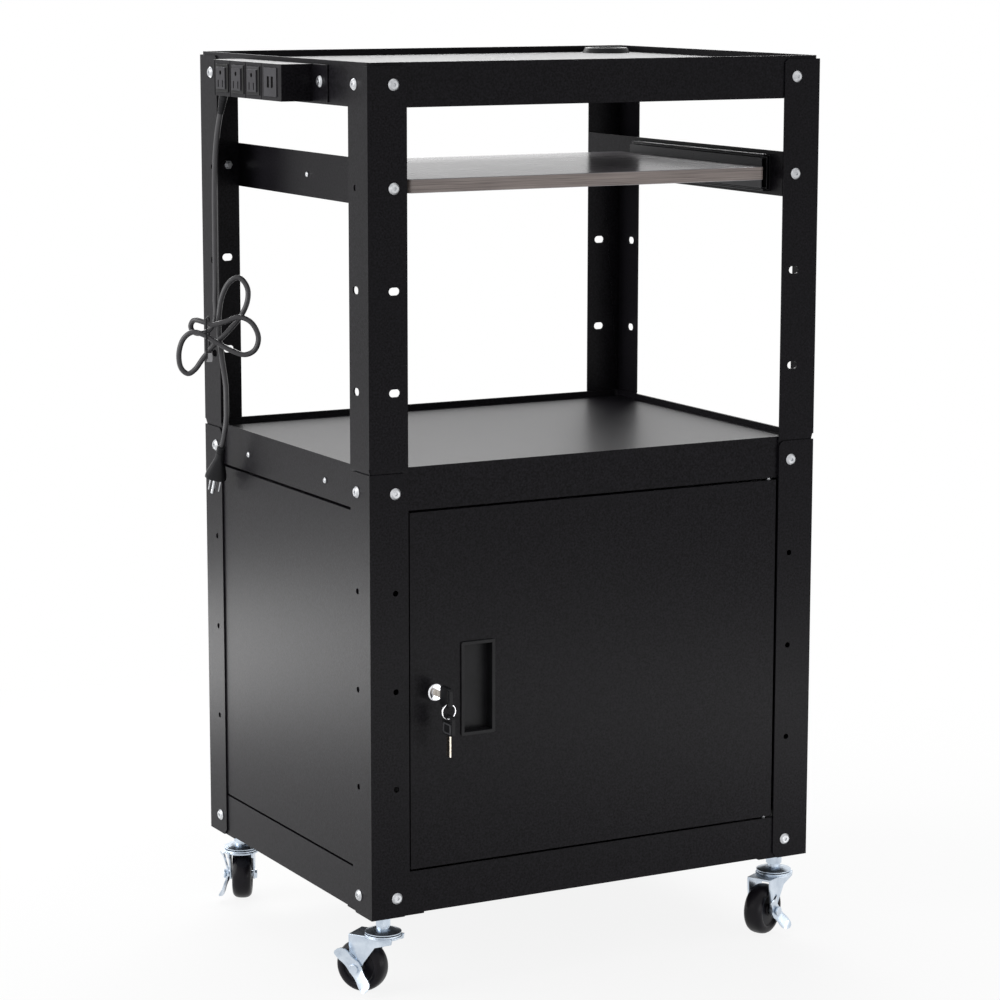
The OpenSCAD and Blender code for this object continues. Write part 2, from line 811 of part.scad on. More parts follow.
module slide_outer_rails() {
    color(black_paint) both_sides() difference() {
        rail(bracket_in_x - slide_t, outer_rail_w, slide_h, true);
        for (share = slide_screw_share)
            translate([bracket_in_x - slide_t - over, slide_y + share * slide_len, shelf_z])
                rotate([0, 90, 0]) cylinder(d = small_screw_d, h = slide_t + 2 * over);
    }
}

module slide_middle_rails() {
    color(black_paint) both_sides()
        rail(bracket_in_x - inner_rail_w + slide_t, inner_rail_w, mid_rail_h, true);
}

module slide_inner_rails() {
    color(black_paint) both_sides() rail(board_half_w, inner_rail_w, inner_rail_h, false);
}

module slide_screws() {
    color(steel) both_sides() for (share = slide_screw_share)
        translate([bracket_in_x + bracket_t, slide_y + share * slide_len, shelf_z])
            rotate([0, 90, 0]) small_screw(bracket_t + slide_t);
}

module shelf_board() {
    color(board_grey) translate([0, board_y + board_d / 2, shelf_z - board_t / 2])
        linear_extrude(board_t) round_rect(2 * board_half_w, board_d, board_r);
}

// Power strip
module module_place(y) {
    translate([strip_x, y, strip_mid_z]) rotate([90, 0, -90]) children();
}

module ear_places() {
    for (end = [-1, 1])
        translate([strip_back_x, strip_mid_y + end * (strip_len + ear_len) / 2, hole_top_z])
            rotate([0, -90, 0]) translate([0, 0, ear_t]) children();
}

module strip_housing() {
    color(black_paint) difference() {
        union() {
            translate([strip_x, strip_mid_y - strip_len / 2, strip_low_z])
                cube([strip_depth, strip_len, strip_h]);
            translate([strip_back_x - ear_t, strip_mid_y - strip_len / 2 - ear_len, strip_low_z])
                cube([ear_t, strip_len + 2 * ear_len, strip_h]);
        }
        translate([strip_x + strip_wall, strip_mid_y - strip_len / 2 + strip_wall, strip_low_z + strip_wall])
            cube([strip_depth, strip_len - 2 * strip_wall, strip_h - 2 * strip_wall]);
        for (y = concat(socket_places_y, usb_place_y))
            module_place(y) translate([0, 0, -strip_wall - over])
                linear_extrude(strip_wall + 2 * over) square([socket_w, socket_tall], center = true);
        for (y = groove_places_y)
            translate([strip_x - over, y - groove_w / 2, strip_low_z])
                cube([over + groove_deep, groove_w, strip_h]);
        ear_places() translate([0, 0, -ear_t - over]) cylinder(d = hole_d, h = ear_t + 2 * over);
        translate([relief_x, relief_y, strip_low_z - over])
            cylinder(d = relief_stub_d, h = strip_wall + 2 * over);
    }
}

module socket_block() {
    translate([0, 0, socket_proud - socket_t]) linear_extrude(socket_t)
        square([socket_w - slip, socket_tall - slip], center = true);
}

module strip_sockets() {
    color(plastic) for (y = socket_places_y) module_place(y) difference() {
        union() {
            socket_block();
            translate([0, 0, -slot_deep]) linear_extrude(slot_deep + socket_proud + boss_proud)
                square(boss_w, center = true);
        }
        for (end = [-1, 1])
            translate([end * blade_gap / 2, -boss_w / 4, socket_proud + boss_proud - slot_deep])
                linear_extrude(slot_deep + over) square([blade_slot_w, blade_slot_h], center = true);
        translate([0, boss_w / 4, socket_proud + boss_proud - slot_deep])
            cylinder(d = earth_d, h = slot_deep + over);
    }
}

module strip_usb() {
    color(plastic) module_place(usb_place_y) difference() {
        socket_block();
        for (end = [-1, 1])
            translate([end * usb_w, 0, socket_proud - slot_deep])
                linear_extrude(slot_deep + over) square([usb_w, usb_h], center = true);
    }
}

module strip_bolts() {
    color(steel) ear_places() bolt(bolt_len);
}

module strain_relief() {
    color(plastic) translate([relief_x, relief_y, strip_low_z]) {
        difference() {
            rotate([relief_tilt, 0, 0]) translate([0, 0, -relief_len]) {
                cylinder(d1 = relief_end_d, d2 = relief_d, h = relief_len);
                translate([0, 0, relief_len]) cylinder(d = relief_d, h = relief_d);
            }
            translate([-relief_d, -relief_d, 0]) cube(2 * relief_d);
        }
        cylinder(d = relief_stub_d, h = strip_wall);
        translate([0, 0, strip_wall]) cylinder(d = relief_collar_d, h = relief_collar_h);
    }
}

// Smooth curve through a list of points
function spline(p, a, b, c, t) = 0.5 * (2 * a + (b - p) * t + (2 * p - 5 * a + 4 * b - c) * t * t
    + (3 * a - p - 3 * b + c) * t * t * t);
function clamp_at(list, i) = list[max(0, min(len(list) - 1, i))];
function ghost(list, i) = i < 0 ? 2 * list[0] - list[1]
    : i >= len(list) ? 2 * list[len(list) - 1] - list[len(list) - 2] : list[i];
function smooth(list, n) = concat([for (i = [0 : len(list) - 2], k = [0 : n - 1])
    spline(ghost(list, i - 1), list[i], list[i + 1], ghost(list, i + 2), k / n)], [list[len(list) - 1]]);
function unit(v) = v / norm(v);
function heading(list, i) = unit(clamp_at(list, i + 1) - clamp_at(list, i - 1));
function bow_world(q) = let (right = bow_share[0] * q[0]) bow_mid + [right * cos(bow_turn) - q[2] * sin(bow_turn),
    -right * sin(bow_turn) - q[2] * cos(bow_turn), bow_share[1] * q[1]];
bow_world_points = [for (q = bow_points) bow_world(q)];

// One line from the strip to the plug, cut into its three stretches
bow_line = smooth(bow_world_points, bow_samples);
drop_line = smooth(concat(cord_drop_points, [bow_world_points[0]]), plain_samples);
tail_line = smooth(concat([bow_world_points[len(bow_points) - 1]], cord_tail_points), plain_samples);

// Upright of each ring, carried along the line so that the tube doesn't twist
function carry(side, along) = unit(side - (side * along) * along);
function ring_sides(list, i, side) = i == len(list) ? []
    : let (s = carry(side, heading(list, i))) concat([s], ring_sides(list, i + 1, s));

module tube(list, sides, d) {
    rights = ring_sides(list, 0, [0.3, 1, 0.2]);
    n = len(list);
    points = [for (i = [0 : n - 1], k = [0 : sides - 1])
        let (along = heading(list, i), up = cross(along, rights[i]), a = 360 * k / sides)
            list[i] + d / 2 * (cos(a) * rights[i] + sin(a) * up)];
    skin = [for (i = [0 : n - 2], k = [0 : sides - 1], half = [0, 1])
        let (a = i * sides + k, b = i * sides + (k + 1) % sides)
            half == 0 ? [a, b + sides, b] : [a, a + sides, b + sides]];
    polyhedron(points, concat(skin, [[for (k = [0 : sides - 1]) k]],
        [[for (k = [sides - 1 : -1 : 0]) (n - 1) * sides + k]]), convexity = 10);
}

// Least free gap between stretches of the bow that lie more than two diameters apart along it
function run_len(list, i, j) = i >= j ? 0 : norm(list[i + 1] - list[i]) + run_len(list, i + 1, j);
bow_run = [for (i = 0, s = 0; i < len(bow_line); s = s + (i < len(bow_line) - 1
    ? norm(bow_line[i + 1] - bow_line[i]) : 0), i = i + 1) s];
self_gap = min([for (i = [0 : len(bow_line) - 1], j = [i + 1 : len(bow_line) - 1])
    if (bow_run[j] - bow_run[i] > 2.5 * cord_d) norm(bow_line[j] - bow_line[i])]) - cord_d;
echo(least_self_gap = self_gap, wanted_over = least_gap);
echo(cord_length = run_len(drop_line, 0, len(drop_line) - 1) + run_len(bow_line, 0, len(bow_line) - 1)
    + run_len(tail_line, 0, len(tail_line) - 1));

module cord_drop() {
    color(plastic) tube(drop_line, plain_sides, cord_d);
}

module cord_bow() {
    color(plastic) tube(bow_line, bow_sides, cord_d);
}

module cord_tail() {
    color(plastic) tube(tail_line, plain_sides, cord_d);
}

module cord_tie() {
    color(plastic) translate(bow_mid) rotate([0, 0, -bow_turn]) {
        translate([tie_right, -(tie_back + tie_front) / 2, (tie_low + tie_high) / 2])
            rotate([90, 0, 90]) linear_extrude(tie_band, center = true) difference() {
                round_rect(tie_front - tie_back + 2 * tie_t, tie_high - tie_low + 2 * tie_t, tie_r);
                round_rect(tie_front - tie_back, tie_high - tie_low, tie_r - tie_t);
            }
        translate([tie_right - tie_band / 2, -tie_front - tie_t, tie_low - tie_tab_h])
            cube([tie_tab_w, tie_t, tie_tab_h]);
    }
}

module plug_place() {
    translate(cord_tail_points[len(cord_tail_points) - 1]) rotate([plug_tilt, 0, 0])
        rotate([0, 0, plug_turn]) children();
}

module plug_body() {
    color(plastic) plug_place() {
        translate([0, 0, -plug_neck_h]) cylinder(d = plug_neck_d, h = plug_neck_h);
        hull() {
            translate([0, 0, -plug_neck_h]) cylinder(d = plug_neck_d, h = plug_face_t / 2, $fn = 32);
            translate([0, 0, -plug_neck_h - plug_body_h]) linear_extrude(plug_face_t)
                round_rect(plug_face_h, plug_face_w, plug_face_t / 2, $fn = 32);
        }
    }
}

module plug_pins() {
    face_z = -plug_neck_h - plug_body_h;
    color(steel) plug_place() {
        for (end = [-1, 1])
            translate([-plug_face_h / 6 - blade_t / 2, end * blade_gap / 2 - blade_w / 4, face_z - blade_len])
                cube([blade_w, blade_t, blade_len]);
        translate([-plug_face_h / 4, 0, face_z - pin_round_len]) cylinder(d = pin_round_d, h = pin_round_len);
    }
}

// Casters, drawn about the stem with the wheel trailing to +X
module caster_place(i) {
    side = caster_sides[i];
    translate([side[0] * (half_w - stem_side), side[1] * (half_d - stem_end), 0])
        rotate([0, 0, caster_turns[i]]) children();
}

module caster_stems() {
    king_z = fork_z - fork_t - king_gap - king_h;
    color(zinc) for (i = [0 : 3]) caster_place(i) {
        translate([0, 0, king_z]) cylinder(d = king_d, h = king_h);
        translate([0, 0, king_z]) cylinder(d = stem_d, h = foot_z + plate_t + nut_h - king_z);
        translate([0, 0, dome_z]) rotate_extrude() polygon([[0, 0], [dome_r, 0], [dome_r, ball_ring_h / 2],
            [dome_top_r, dome_h], [0, dome_h]]);
        translate([0, 0, neck_z]) cylinder(r = neck_r, h = neck_h);
        translate([0, 0, hex_z]) cylinder(d = hex_w / hex_round, h = hex_h, $fn = hex_sides);
        translate([0, 0, foot_z + plate_t]) cylinder(d = hex_w / hex_round, h = nut_h, $fn = hex_sides);
    }
}

// Outline of a fork arm from the stem to the axle, in shares of the trail and the fork height
arm_top_share = [[-0.72, 1], [-0.68, 0.86], [0.1, 0.72], [0.62, 0.3], [0.8, 0.1]];
arm_back_share = [[1.2, 0.1], [1.3, 0.42], [1.36, 0.84], [1.36, 1]];

module fork_arm() {
    rotate([90, 0, 0]) linear_extrude(fork_t, center = true) difference() {
        union() {
            polygon([for (q = concat(arm_top_share, arm_back_share))
                [q[0] * trail, axle_z - axle_head_d / 2 + q[1] * (fork_z - axle_z + axle_head_d / 2)]]);
            translate([trail, axle_z]) circle(d = axle_head_d + fork_t);
        }
        translate([trail, axle_z]) circle(d = axle_d);
    }
}

module fork(i) {
    color(zinc) caster_place(i) {
        difference() {
            union() {
                translate([0, 0, fork_z - fork_t]) cylinder(r = ring_r, h = fork_t);
                translate([0, -arm_x - fork_t, fork_z - fork_t])
                    cube([arm_back_share[2][0] * trail, 2 * (arm_x + fork_t), fork_t]);
                translate([0, 0, fork_z]) cylinder(r = ring_r - fork_t / 2, h = ball_ring_h);
                for (side = [-1, 1]) translate([0, side * (arm_x + fork_t / 2), 0]) fork_arm();
            }
            translate([0, 0, fork_z - fork_t - over])
                cylinder(d = stem_d + 2 * run, h = fork_t + ball_ring_h + 2 * over);
        }
        translate([trail, 0, axle_z]) rotate([-90, 0, 0]) {
            translate([0, 0, -plain_head_x]) cylinder(d = axle_d, h = plain_head_x + lever_head_x);
            translate([0, 0, -plain_head_x - axle_head_h]) cylinder(d = axle_head_d, h = axle_head_h);
            translate([0, 0, lever_head_x]) cylinder(d = axle_head_d, h = axle_head_h);
        }
    }
}

module wheel(i) {
    rim = wheel_d / 2;
    color(plastic) caster_place(i) translate([trail, 0, axle_z]) rotate([90, 0, 0]) difference() {
        rotate_extrude() {
            difference() {
                union() {
                    translate([0, -wheel_w / 2]) square([rim - tyre_r, wheel_w]);
                    translate([0, tyre_r - wheel_w / 2]) square([rim, wheel_w - 2 * tyre_r]);
                    for (side = [-1, 1])
                        translate([rim - tyre_r, side * (wheel_w / 2 - tyre_r)]) circle(tyre_r);
                }
                for (side = [-1, 1]) translate([axle_head_d, side * wheel_w / 2 - hub_deep])
                    square([hub_r - axle_head_d, 2 * hub_deep]);
            }
        }
        cylinder(d = axle_d + 2 * run, h = wheel_w + 2 * over, center = true);
    }
}

module brake(i) {
    wing = brake_len - brake_flat / 2;
    color(zinc) caster_place(i) translate([trail, lever_x, axle_z])
        rotate([0, brake_turn, 0]) difference() {
            union() {
                translate([-brake_w / 2, 0, -brake_flat / 2]) cube([brake_w, brake_t, brake_flat]);
                for (side = [0, 1]) mirror([0, 0, side]) translate([-brake_w / 2, 0, brake_flat / 2])
                    rotate([-brake_bend, 0, 0]) cube([brake_w, brake_t, wing]);
            }
            rotate([-90, 0, 0]) translate([0, 0, -over]) cylinder(d = brake_hole_d, h = brake_t + 2 * over);
        }
}

placed() top_tray();
placed() middle_tray();
placed() bottom_tray();
placed() upper_leg([-1, -1]);  // upper_leg_fl
placed() upper_leg([1, -1]);  // upper_leg_fr
placed() upper_leg([-1, 1]);  // upper_leg_bl
placed() upper_leg([1, 1]);  // upper_leg_br
placed() lower_leg([-1, -1]);  // lower_leg_fl
placed() lower_leg([1, -1]);  // lower_leg_fr
placed() lower_leg([-1, 1]);  // lower_leg_bl
placed() lower_leg([1, 1]);  // lower_leg_br
placed() side_panel(-1);  // left_panel
placed() side_panel(1);  // right_panel
placed() back_panel();
placed() corner_plates();
placed() frame_bolts();
placed() frame_nuts();
placed() panel_screws();
placed() grommet();
placed() hinge_pins();
placed() bracket(-1);  // bracket_left
placed() bracket(1);  // bracket_right
placed() slide_outer_rails();
placed() slide_screws();
placed() strip_housing();
placed() strip_sockets();
placed() strip_usb();
placed() strip_bolts();
placed() strain_relief();
placed() cord_drop();
placed() cord_bow();
placed() cord_tail();
placed() cord_tie();
placed() plug_body();
placed() plug_pins();
placed() caster_stems();
placed() door();
placed() door_pull();
placed() lock_housing();
placed() lock_nut();
placed() lock_core();
placed() lock_cam();
placed() key();
placed() key_ring();
placed() spare_key();
placed() slide_middle_rails();
placed() slide_inner_rails();
placed() shelf_board();
placed() fork(0);  // fork_fl
placed() fork(1);  // fork_fr
placed() fork(2);  // fork_bl
placed() fork(3);  // fork_br
placed() wheel(0);  // wheel_fl
placed() wheel(1);  // wheel_fr
placed() wheel(2);  // wheel_bl
placed() wheel(3);  // wheel_br
placed() brake(0);  // brake_fl
placed() brake(1);  // brake_fr
placed() brake(2);  // brake_bl
placed() brake(3);  // brake_br
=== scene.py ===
"""Projector cart: its finish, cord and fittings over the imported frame.

Metres, +X right, +Y back, +Z up. Places are written in millimetres from the middle of the cart's
legs, as the cart is built, and at() moves them into the frame.
"""

import json
from math import cos, hypot, pi, radians, sin

import bmesh
import bpy
from mathutils import Matrix, Vector

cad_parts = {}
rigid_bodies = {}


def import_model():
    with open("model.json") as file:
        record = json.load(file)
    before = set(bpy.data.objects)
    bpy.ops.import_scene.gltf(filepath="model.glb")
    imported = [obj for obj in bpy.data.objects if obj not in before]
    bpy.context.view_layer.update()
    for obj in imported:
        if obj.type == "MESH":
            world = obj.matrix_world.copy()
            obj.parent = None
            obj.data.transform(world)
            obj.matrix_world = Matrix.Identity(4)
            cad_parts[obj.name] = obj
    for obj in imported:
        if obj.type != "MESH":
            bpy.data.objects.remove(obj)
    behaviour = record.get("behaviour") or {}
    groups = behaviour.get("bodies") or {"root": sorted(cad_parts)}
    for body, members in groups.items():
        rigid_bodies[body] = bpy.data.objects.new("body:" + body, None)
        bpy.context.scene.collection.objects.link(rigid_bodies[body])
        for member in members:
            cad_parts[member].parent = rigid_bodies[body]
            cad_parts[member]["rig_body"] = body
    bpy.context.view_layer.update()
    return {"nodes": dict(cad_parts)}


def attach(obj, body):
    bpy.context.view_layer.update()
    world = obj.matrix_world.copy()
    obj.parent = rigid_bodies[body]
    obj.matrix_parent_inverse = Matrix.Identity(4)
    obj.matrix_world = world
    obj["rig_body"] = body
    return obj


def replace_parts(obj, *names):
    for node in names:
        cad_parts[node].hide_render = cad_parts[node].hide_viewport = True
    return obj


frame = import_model()

MM = 0.001
FRAME_SHIFT = 18.4        # the frame stands this far to the right of the legs' middle
LEG_X, LEG_Y = 305, 236    # outer faces of the legs
# Side in x, side in y and the way each caster points, in degrees
CORNERS = {"fl": (-1, -1, 125), "fr": (1, -1, 208), "bl": (-1, 1, 63), "br": (1, 1, 160)}
STEM_IN = 29               # the caster stem from the outer faces
TRAIL = 28
AXLE_Z = 31.5


def at(x, y, z):
    return Vector(((x + FRAME_SHIFT) * MM, y * MM, z * MM))


# Camera
CAMERA_AT = at(-1894.0, -3473.3, 1220.9)
YAW, PITCH, ROLL = 28.52, -9.75, 0.07
FOCAL_SHARE = 3.192
SENSOR = 36


def make_camera():
    data = bpy.data.cameras.new("camera")
    data.sensor_width = SENSOR
    data.lens = SENSOR * FOCAL_SHARE
    camera = bpy.data.objects.new("camera", data)
    turn = Matrix.Rotation(radians(-YAW), 4, "Z") @ Matrix.Rotation(radians(90 + PITCH), 4, "X")
    turn = turn @ Matrix.Rotation(radians(ROLL), 4, "Z")
    camera.matrix_world = Matrix.Translation(CAMERA_AT) @ turn
    bpy.context.scene.collection.objects.link(camera)
    bpy.context.scene.camera = camera


make_camera()

# Cord: the drop from the strip, the bow and the tail to the plug
CORD_D = 6.6
RELIEF_AT = Vector((-337.5, 90, 1049.6))
RELIEF_TILT = 25
RELIEF_LEN = 24
CORD_DROP = [(-337.5, 99.9, 1028.5), (-337.5, 103.5, 1020.9), (-337.3, 112, 1000), (-335.5, 122, 975),
             (-332.5, 132, 945), (-329.5, 140, 910), (-327, 146, 875), (-325, 151, 840),
             (-323.6, 154.5, 815)]
# Points of the bow as right, up and forward distances from its middle
BOW_MID = Vector((-325, 157, 752))
BOW_TURN = radians(28.5)
BOW_SHARE = (0.9, 0.94)    # of the points' right and up distances
BOW = [(2, 46, 0), (2.5, 31, 0), (0.6, 16, 0), (-8, 5, -1), (-21, 1.5, 1), (-29, 5, 6), (-31, 13.5, 12),
       (-25, 21.5, 18), (-12, 19.5, 24), (1, 16.5, 27), (18, 20.5, 28), (37.5, 26.5, 28), (54, 19, 28),
       (63, 1, 28), (58.5, -16, 28), (44, -23, 28), (25, -17, 28), (5, -6.5, 28), (-12, 3, 27),
       (-28, 6, 24), (-41, -4, 22), (-47, -22.5, 20), (-45, -41, 19), (-35.5, -49.5, 18),
       (-25, -43.5, 18), (-14, -29, 18), (0, -13, 18), (19.5, 5.5, 18), (37.5, 25.5, 17), (47, 44.5, 15),
       (47.5, 63, 13), (36.5, 76.5, 11), (22, 70, 10), (12, 51.5, 9), (8, 30.5, 9), (7, 8, 9),
       (9, -14, 9), (12, -38, 9), (14, -52, 9)]
CORD_TAIL = [(-317.4, 141, 688), (-318.2, 138.5, 668), (-319.6, 136, 648), (-322, 136, 632),
             (-322.8, 138.2, 621.9), (-323.5, 142.5, 613.3)]
CORD_STEPS = 6
CORD_ROUNDNESS = 5


def bow_place(right, up, forward):
    x = right * cos(BOW_TURN) - forward * sin(BOW_TURN)
    y = -right * sin(BOW_TURN) - forward * cos(BOW_TURN)
    return BOW_MID + Vector((x, y, up))


def smooth(points, steps):
    """A Catmull-Rom curve through the points."""
    p = [Vector(q) for q in points]
    p = [2 * p[0] - p[1]] + p + [2 * p[-1] - p[-2]]
    line = []
    for a, b, c, d in zip(p, p[1:], p[2:], p[3:]):
        for i in range(steps):
            t = i / steps
            line.append(0.5 * (2 * b + (c - a) * t + (2 * a - 5 * b + 4 * c - d) * t * t
                               + (3 * b - a - 3 * c + d) * t ** 3))
    return line + [p[-2]]


def cord_line():
    bow = [bow_place(BOW_SHARE[0] * q[0], BOW_SHARE[1] * q[1], q[2]) for q in BOW]
    drop = smooth(CORD_DROP + [bow[0]], CORD_STEPS)
    tail = smooth([bow[-1]] + CORD_TAIL, CORD_STEPS)
    line = drop + smooth(bow, CORD_STEPS)[1:] + tail[1:]
    return [at(*q) for q in line]


# Mesh helpers
BEVEL_ANGLE = 40
SHARP_ANGLE = 35
NORMAL_WEIGHT = 80
WELD = 1e-5
FLAT_ANGLE = 0.6


def mesh_from(bm, name):
    bmesh.ops.recalc_face_normals(bm, faces=bm.faces)
    mesh = bpy.data.meshes.new(name)
    bm.to_mesh(mesh)
    bm.free()
    return mesh


def skin(bm, rings):
    """Faces between closed rings of the same number of vertices."""
    for low, high in zip(rings, rings[1:]):
        for k in range(len(low)):
            j = (k + 1) % len(low)
            bm.faces.new((low[k], low[j], high[j], high[k]))


def link(name, mesh, body, *materials):
    obj = bpy.data.objects.new(name, mesh)
    bpy.context.scene.collection.objects.link(obj)
    for m in materials:
        mesh.materials.append(m)
    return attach(obj, body)


def smooth_shade(mesh, angle=SHARP_ANGLE):
    for face in mesh.polygons:
        face.use_smooth = True
    mesh.set_sharp_from_angle(angle=radians(angle))


def apply_modifiers(obj):
    bpy.context.view_layer.update()
    evaluated = obj.evaluated_get(bpy.context.evaluated_depsgraph_get())
    mesh = bpy.data.meshes.new_from_object(evaluated)
    obj.modifiers.clear()
    old = obj.data
    obj.data = mesh
    bpy.data.meshes.remove(old)
    return obj


def bevel(obj, width, segments=2):
    m = obj.modifiers.new("bevel", "BEVEL")
    m.width = width * MM
    m.segments = segments
    m.limit_method = "ANGLE"
    m.angle_limit = radians(BEVEL_ANGLE)
    m.use_clamp_overlap = True
    apply_modifiers(obj)
    smooth_shade(obj.data)
    even = obj.modifiers.new("even", "WEIGHTED_NORMAL")
    even.keep_sharp = True
    even.weight = NORMAL_WEIGHT
    return apply_modifiers(obj)


def eased(node, width, material, segments=2, second=None, pick=None):
    """A copy of a CAD node whose edges are rounded, which stands for the node.

    Faces whose middle pick() accepts get the second material.
    """
    bm = bmesh.new()
    bm.from_mesh(frame["nodes"][node].data)
    bmesh.ops.remove_doubles(bm, verts=bm.verts, dist=WELD)
    bmesh.ops.dissolve_limit(bm, angle_limit=radians(FLAT_ANGLE), verts=bm.verts, edges=bm.edges)
    mesh = bpy.data.meshes.new(node)
    bm.to_mesh(mesh)
    bm.free()
    obj = link(node + "_eased", mesh, frame["nodes"][node]["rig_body"])
    bevel(obj, width, segments)
    obj.data.materials.clear()
    obj.data.materials.append(material)
    if second:
        obj.data.materials.append(second)
        for face in obj.data.polygons:
            face.material_index = 1 if pick(face.center / MM - Vector((FRAME_SHIFT, 0, 0))) else 0
    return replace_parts(obj, node)


def lathe(profile, sides):
    """A turned mesh about Z from (radius, height) points in millimetres."""
    bm = bmesh.new()
    rings = []
    for r, z in profile:
        if r == 0:
            rings.append([bm.verts.new((0, 0, z * MM))])
            continue
        turns = [2 * pi * k / sides for k in range(sides)]
        rings.append([bm.verts.new((r * MM * cos(a), r * MM * sin(a), z * MM)) for a in turns])
    for low, high in zip(rings, rings[1:]):
        for k in range(sides):
            j = (k + 1) % sides
            if len(low) == 1 and len(high) > 1:
                bm.faces.new((low[0], high[j], high[k]))
            elif len(high) == 1 and len(low) > 1:
                bm.faces.new((low[k], low[j], high[0]))
            elif len(low) > 1:
                bm.faces.new((low[k], low[j], high[j], high[k]))
    return mesh_from(bm, "turned")


# Materials
CLOUD_BAND = (0.3, 0.7)
STREAKS_PER_CLOUD = 6
GRAIN_DEPTH, FINE_DEPTH = 0.0002, 0.0001
NOISE_ROUGH = 0.55
BOARD_STRETCH = (5, 60, 300)
BOARD_STREAK, BOARD_DETAIL = 3, 5
BOARD_GLOSS = (0.16, 0.26)
BOARD_EDGE = [(0.25, (0.14, 0.115, 0.105)), (0.5, (0.27, 0.225, 0.21)), (0.75, (0.36, 0.31, 0.285))]
# The top's paler grey is painted light and reflection from above; the edge ramp is the laminate's own
# colour
BOARD_TOP_PAINTED_LIGHT = [(0.3, (0.34, 0.32, 0.34)), (0.7, (0.40, 0.38, 0.40))]
BOARD_GRAIN = 0.08


def new_material(name):
    m = bpy.data.materials.new(name)
    m.use_nodes = True
    return m, m.node_tree.nodes, m.node_tree.links, m.node_tree.nodes["Principled BSDF"]


def noise(nodes, links, where, scale, detail=3):
    n = nodes.new("ShaderNodeTexNoise")
    n.inputs["Scale"].default_value = scale
    n.inputs["Detail"].default_value = detail
    n.inputs["Roughness"].default_value = NOISE_ROUGH
    links.new(where.outputs["Object"], n.inputs["Vector"])
    return n


def ramp(nodes, links, source, stops):
    r = nodes.new("ShaderNodeValToRGB")
    r.color_ramp.elements[0].position = stops[0][0]
    r.color_ramp.elements[0].color = (*stops[0][1], 1)
    r.color_ramp.elements[1].position = stops[-1][0]
    r.color_ramp.elements[1].color = (*stops[-1][1], 1)
    for place, colour in stops[1:-1]:
        e = r.color_ramp.elements.new(place)
        e.color = (*colour, 1)
    links.new(source, r.inputs["Fac"])
    return r


def spread(nodes, links, source, low, high):
    r = nodes.new("ShaderNodeMapRange")
    r.inputs["To Min"].default_value = low
    r.inputs["To Max"].default_value = high
    links.new(source, r.inputs["Value"])
    return r


def grain(nodes, links, shader, source, strength, distance):
    b = nodes.new("ShaderNodeBump")
    b.inputs["Strength"].default_value = strength
    b.inputs["Distance"].default_value = distance
    links.new(source, b.inputs["Height"])
    links.new(b.outputs["Normal"], shader.inputs["Normal"])


def surface(name, low, high, rough, metallic=0.0, cloud=9.0, grain_scale=900.0, grain_strength=0.1,
            grain_depth=GRAIN_DEPTH, rough_play=0.06, specular=0.5):
    """A finish with cloudy colour, uneven gloss and a fine grain."""
    m, nodes, links, shader = new_material(name)
    where = nodes.new("ShaderNodeTexCoord")
    clouds = noise(nodes, links, where, cloud)
    tint = ramp(nodes, links, clouds.outputs["Fac"], [(CLOUD_BAND[0], low), (CLOUD_BAND[1], high)])
    links.new(tint.outputs["Color"], shader.inputs["Base Color"])
    streaks = noise(nodes, links, where, cloud * STREAKS_PER_CLOUD)
    gloss = spread(nodes, links, streaks.outputs["Fac"], rough - rough_play, rough + rough_play)
    links.new(gloss.outputs["Result"], shader.inputs["Roughness"])
    fine = noise(nodes, links, where, grain_scale, 2)
    grain(nodes, links, shader, fine.outputs["Fac"], grain_strength, grain_depth)
    shader.inputs["Metallic"].default_value = metallic
    shader.inputs["Specular IOR Level"].default_value = specular
    return m


def board_finish(name):
    """A grained brown edge and a paler grey top, whose paleness is painted light and reflection from above.
    """
    m, nodes, links, shader = new_material(name)
    where = nodes.new("ShaderNodeTexCoord")
    stretch = nodes.new("ShaderNodeMapping")
    stretch.inputs["Scale"].default_value = BOARD_STRETCH
    links.new(where.outputs["Object"], stretch.inputs["Vector"])
    streak = nodes.new("ShaderNodeTexNoise")
    streak.inputs["Scale"].default_value = BOARD_STREAK
    streak.inputs["Detail"].default_value = BOARD_DETAIL
    links.new(stretch.outputs["Vector"], streak.inputs["Vector"])
    edge = ramp(nodes, links, streak.outputs["Fac"], BOARD_EDGE)
    top = ramp(nodes, links, streak.outputs["Fac"], BOARD_TOP_PAINTED_LIGHT)
    # Faces that point up or down take the paler top colour, which is painted light and reflection
    side = nodes.new("ShaderNodeNewGeometry")
    split = nodes.new("ShaderNodeSeparateXYZ")
    links.new(side.outputs["Normal"], split.inputs["Vector"])
    flat = nodes.new("ShaderNodeMath")
    flat.operation = "ABSOLUTE"
    links.new(split.outputs["Z"], flat.inputs[0])
    blend = nodes.new("ShaderNodeMixRGB")
    links.new(flat.outputs["Value"], blend.inputs["Fac"])
    links.new(edge.outputs["Color"], blend.inputs["Color1"])
    links.new(top.outputs["Color"], blend.inputs["Color2"])
    links.new(blend.outputs["Color"], shader.inputs["Base Color"])
    gloss = spread(nodes, links, streak.outputs["Fac"], *BOARD_GLOSS)
    links.new(gloss.outputs["Result"], shader.inputs["Roughness"])
    grain(nodes, links, shader, streak.outputs["Fac"], BOARD_GRAIN, GRAIN_DEPTH)
    return m


